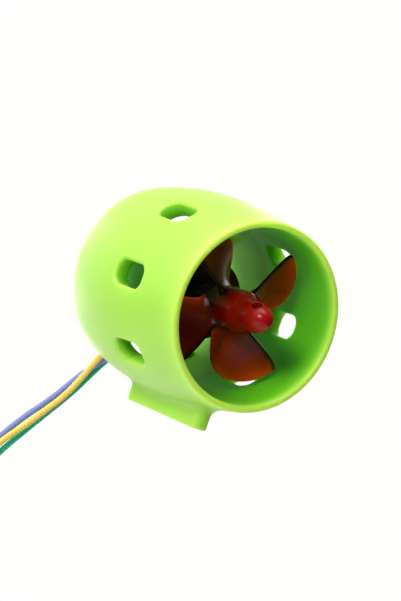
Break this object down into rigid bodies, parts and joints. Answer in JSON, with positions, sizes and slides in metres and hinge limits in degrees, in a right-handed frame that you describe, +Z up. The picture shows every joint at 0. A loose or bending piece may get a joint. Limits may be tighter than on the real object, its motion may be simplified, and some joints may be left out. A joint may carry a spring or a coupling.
{
  "type": "underwater thruster",
  "caption": "Ducted underwater thruster: barrel nozzle with vent slots and a mounting keel, a four-blade propeller on an outrunner motor, and three hanging leads.",
  "frame": {"origin": "middle of the keel's flat mounting face, between its two pilot holes", "axes": "+X along the shaft out of the exit, +Z up with the keel down, +Y to the left of the thrust direction"},
  "size_m": [0.1125, 0.0716, 0.2046],
  "materials": {
    "nozzle_green": "satin translucent moulded plastic",
    "black_aluminium": "black anodised",
    "black_steel": "black coated",
    "lacquered_steel": "lacquered laminations",
    "copper": "enamelled winding under clear resin",
    "magnet": "nickel plated",
    "steel": "stainless",
    "dark_steel": "black oxide",
    "bearing_steel": "polished",
    "white_plastic": "low friction washer",
    "propeller_amber": "glossy translucent red-brown",
    "black_rubber": "soft",
    "blue_silicone": "silicone jacket",
    "yellow_silicone": "silicone jacket",
    "green_silicone": "silicone jacket",
    "gold": "gold plated"
  },
  "bodies": {
    "housing": {"nozzle": "nozzle_green", "motor_bracket": "nozzle_green", "motor_sleeve": "nozzle_green", "motor_base": "black_aluminium", "motor_screw_1": "steel", "motor_screw_2": "steel", "motor_screw_3": "steel", "motor_screw_4": "steel", "stator_core": "lacquered_steel", "stator_coils": "copper", "bearing_front_outer": "bearing_steel", "bearing_rear_outer": "bearing_steel", "lead_grommet": "black_rubber", "lead_blue": "blue_silicone", "lead_yellow": "yellow_silicone", "lead_green": "green_silicone", "sleeve_blue": "black_rubber", "sleeve_yellow": "black_rubber", "sleeve_green": "black_rubber", "pin_blue": "gold", "pin_yellow": "gold", "pin_green": "gold"},
    "ball_train": {"bearing_front_balls": "bearing_steel", "bearing_rear_balls": "bearing_steel"},
    "rotor": {"rotor_bell": "black_aluminium", "flux_ring": "black_steel", "magnets": "magnet", "shaft": "steel", "bearing_front_inner": "bearing_steel", "bearing_rear_inner": "bearing_steel", "shaft_clip": "dark_steel", "thrust_washer": "white_plastic", "bell_screw_1": "dark_steel", "bell_screw_2": "dark_steel", "propeller": "propeller_amber", "prop_screw": "dark_steel"}
  },
  "joints": [
    {"name": "rotor_spin", "type": "hinge", "parent": "housing", "child": "rotor", "pos_m": [0, 0, 0.0418], "axis": [1, 0, 0], "continuous": true},
    {"name": "ball_train_spin", "type": "hinge", "parent": "housing", "child": "ball_train", "pos_m": [0, 0, 0.0418], "axis": [1, 0, 0], "continuous": true}
  ],
  "couplings": [
    {"joint": "ball_train_spin", "follows": "rotor_spin", "ratio": 0.3769}
  ]
}
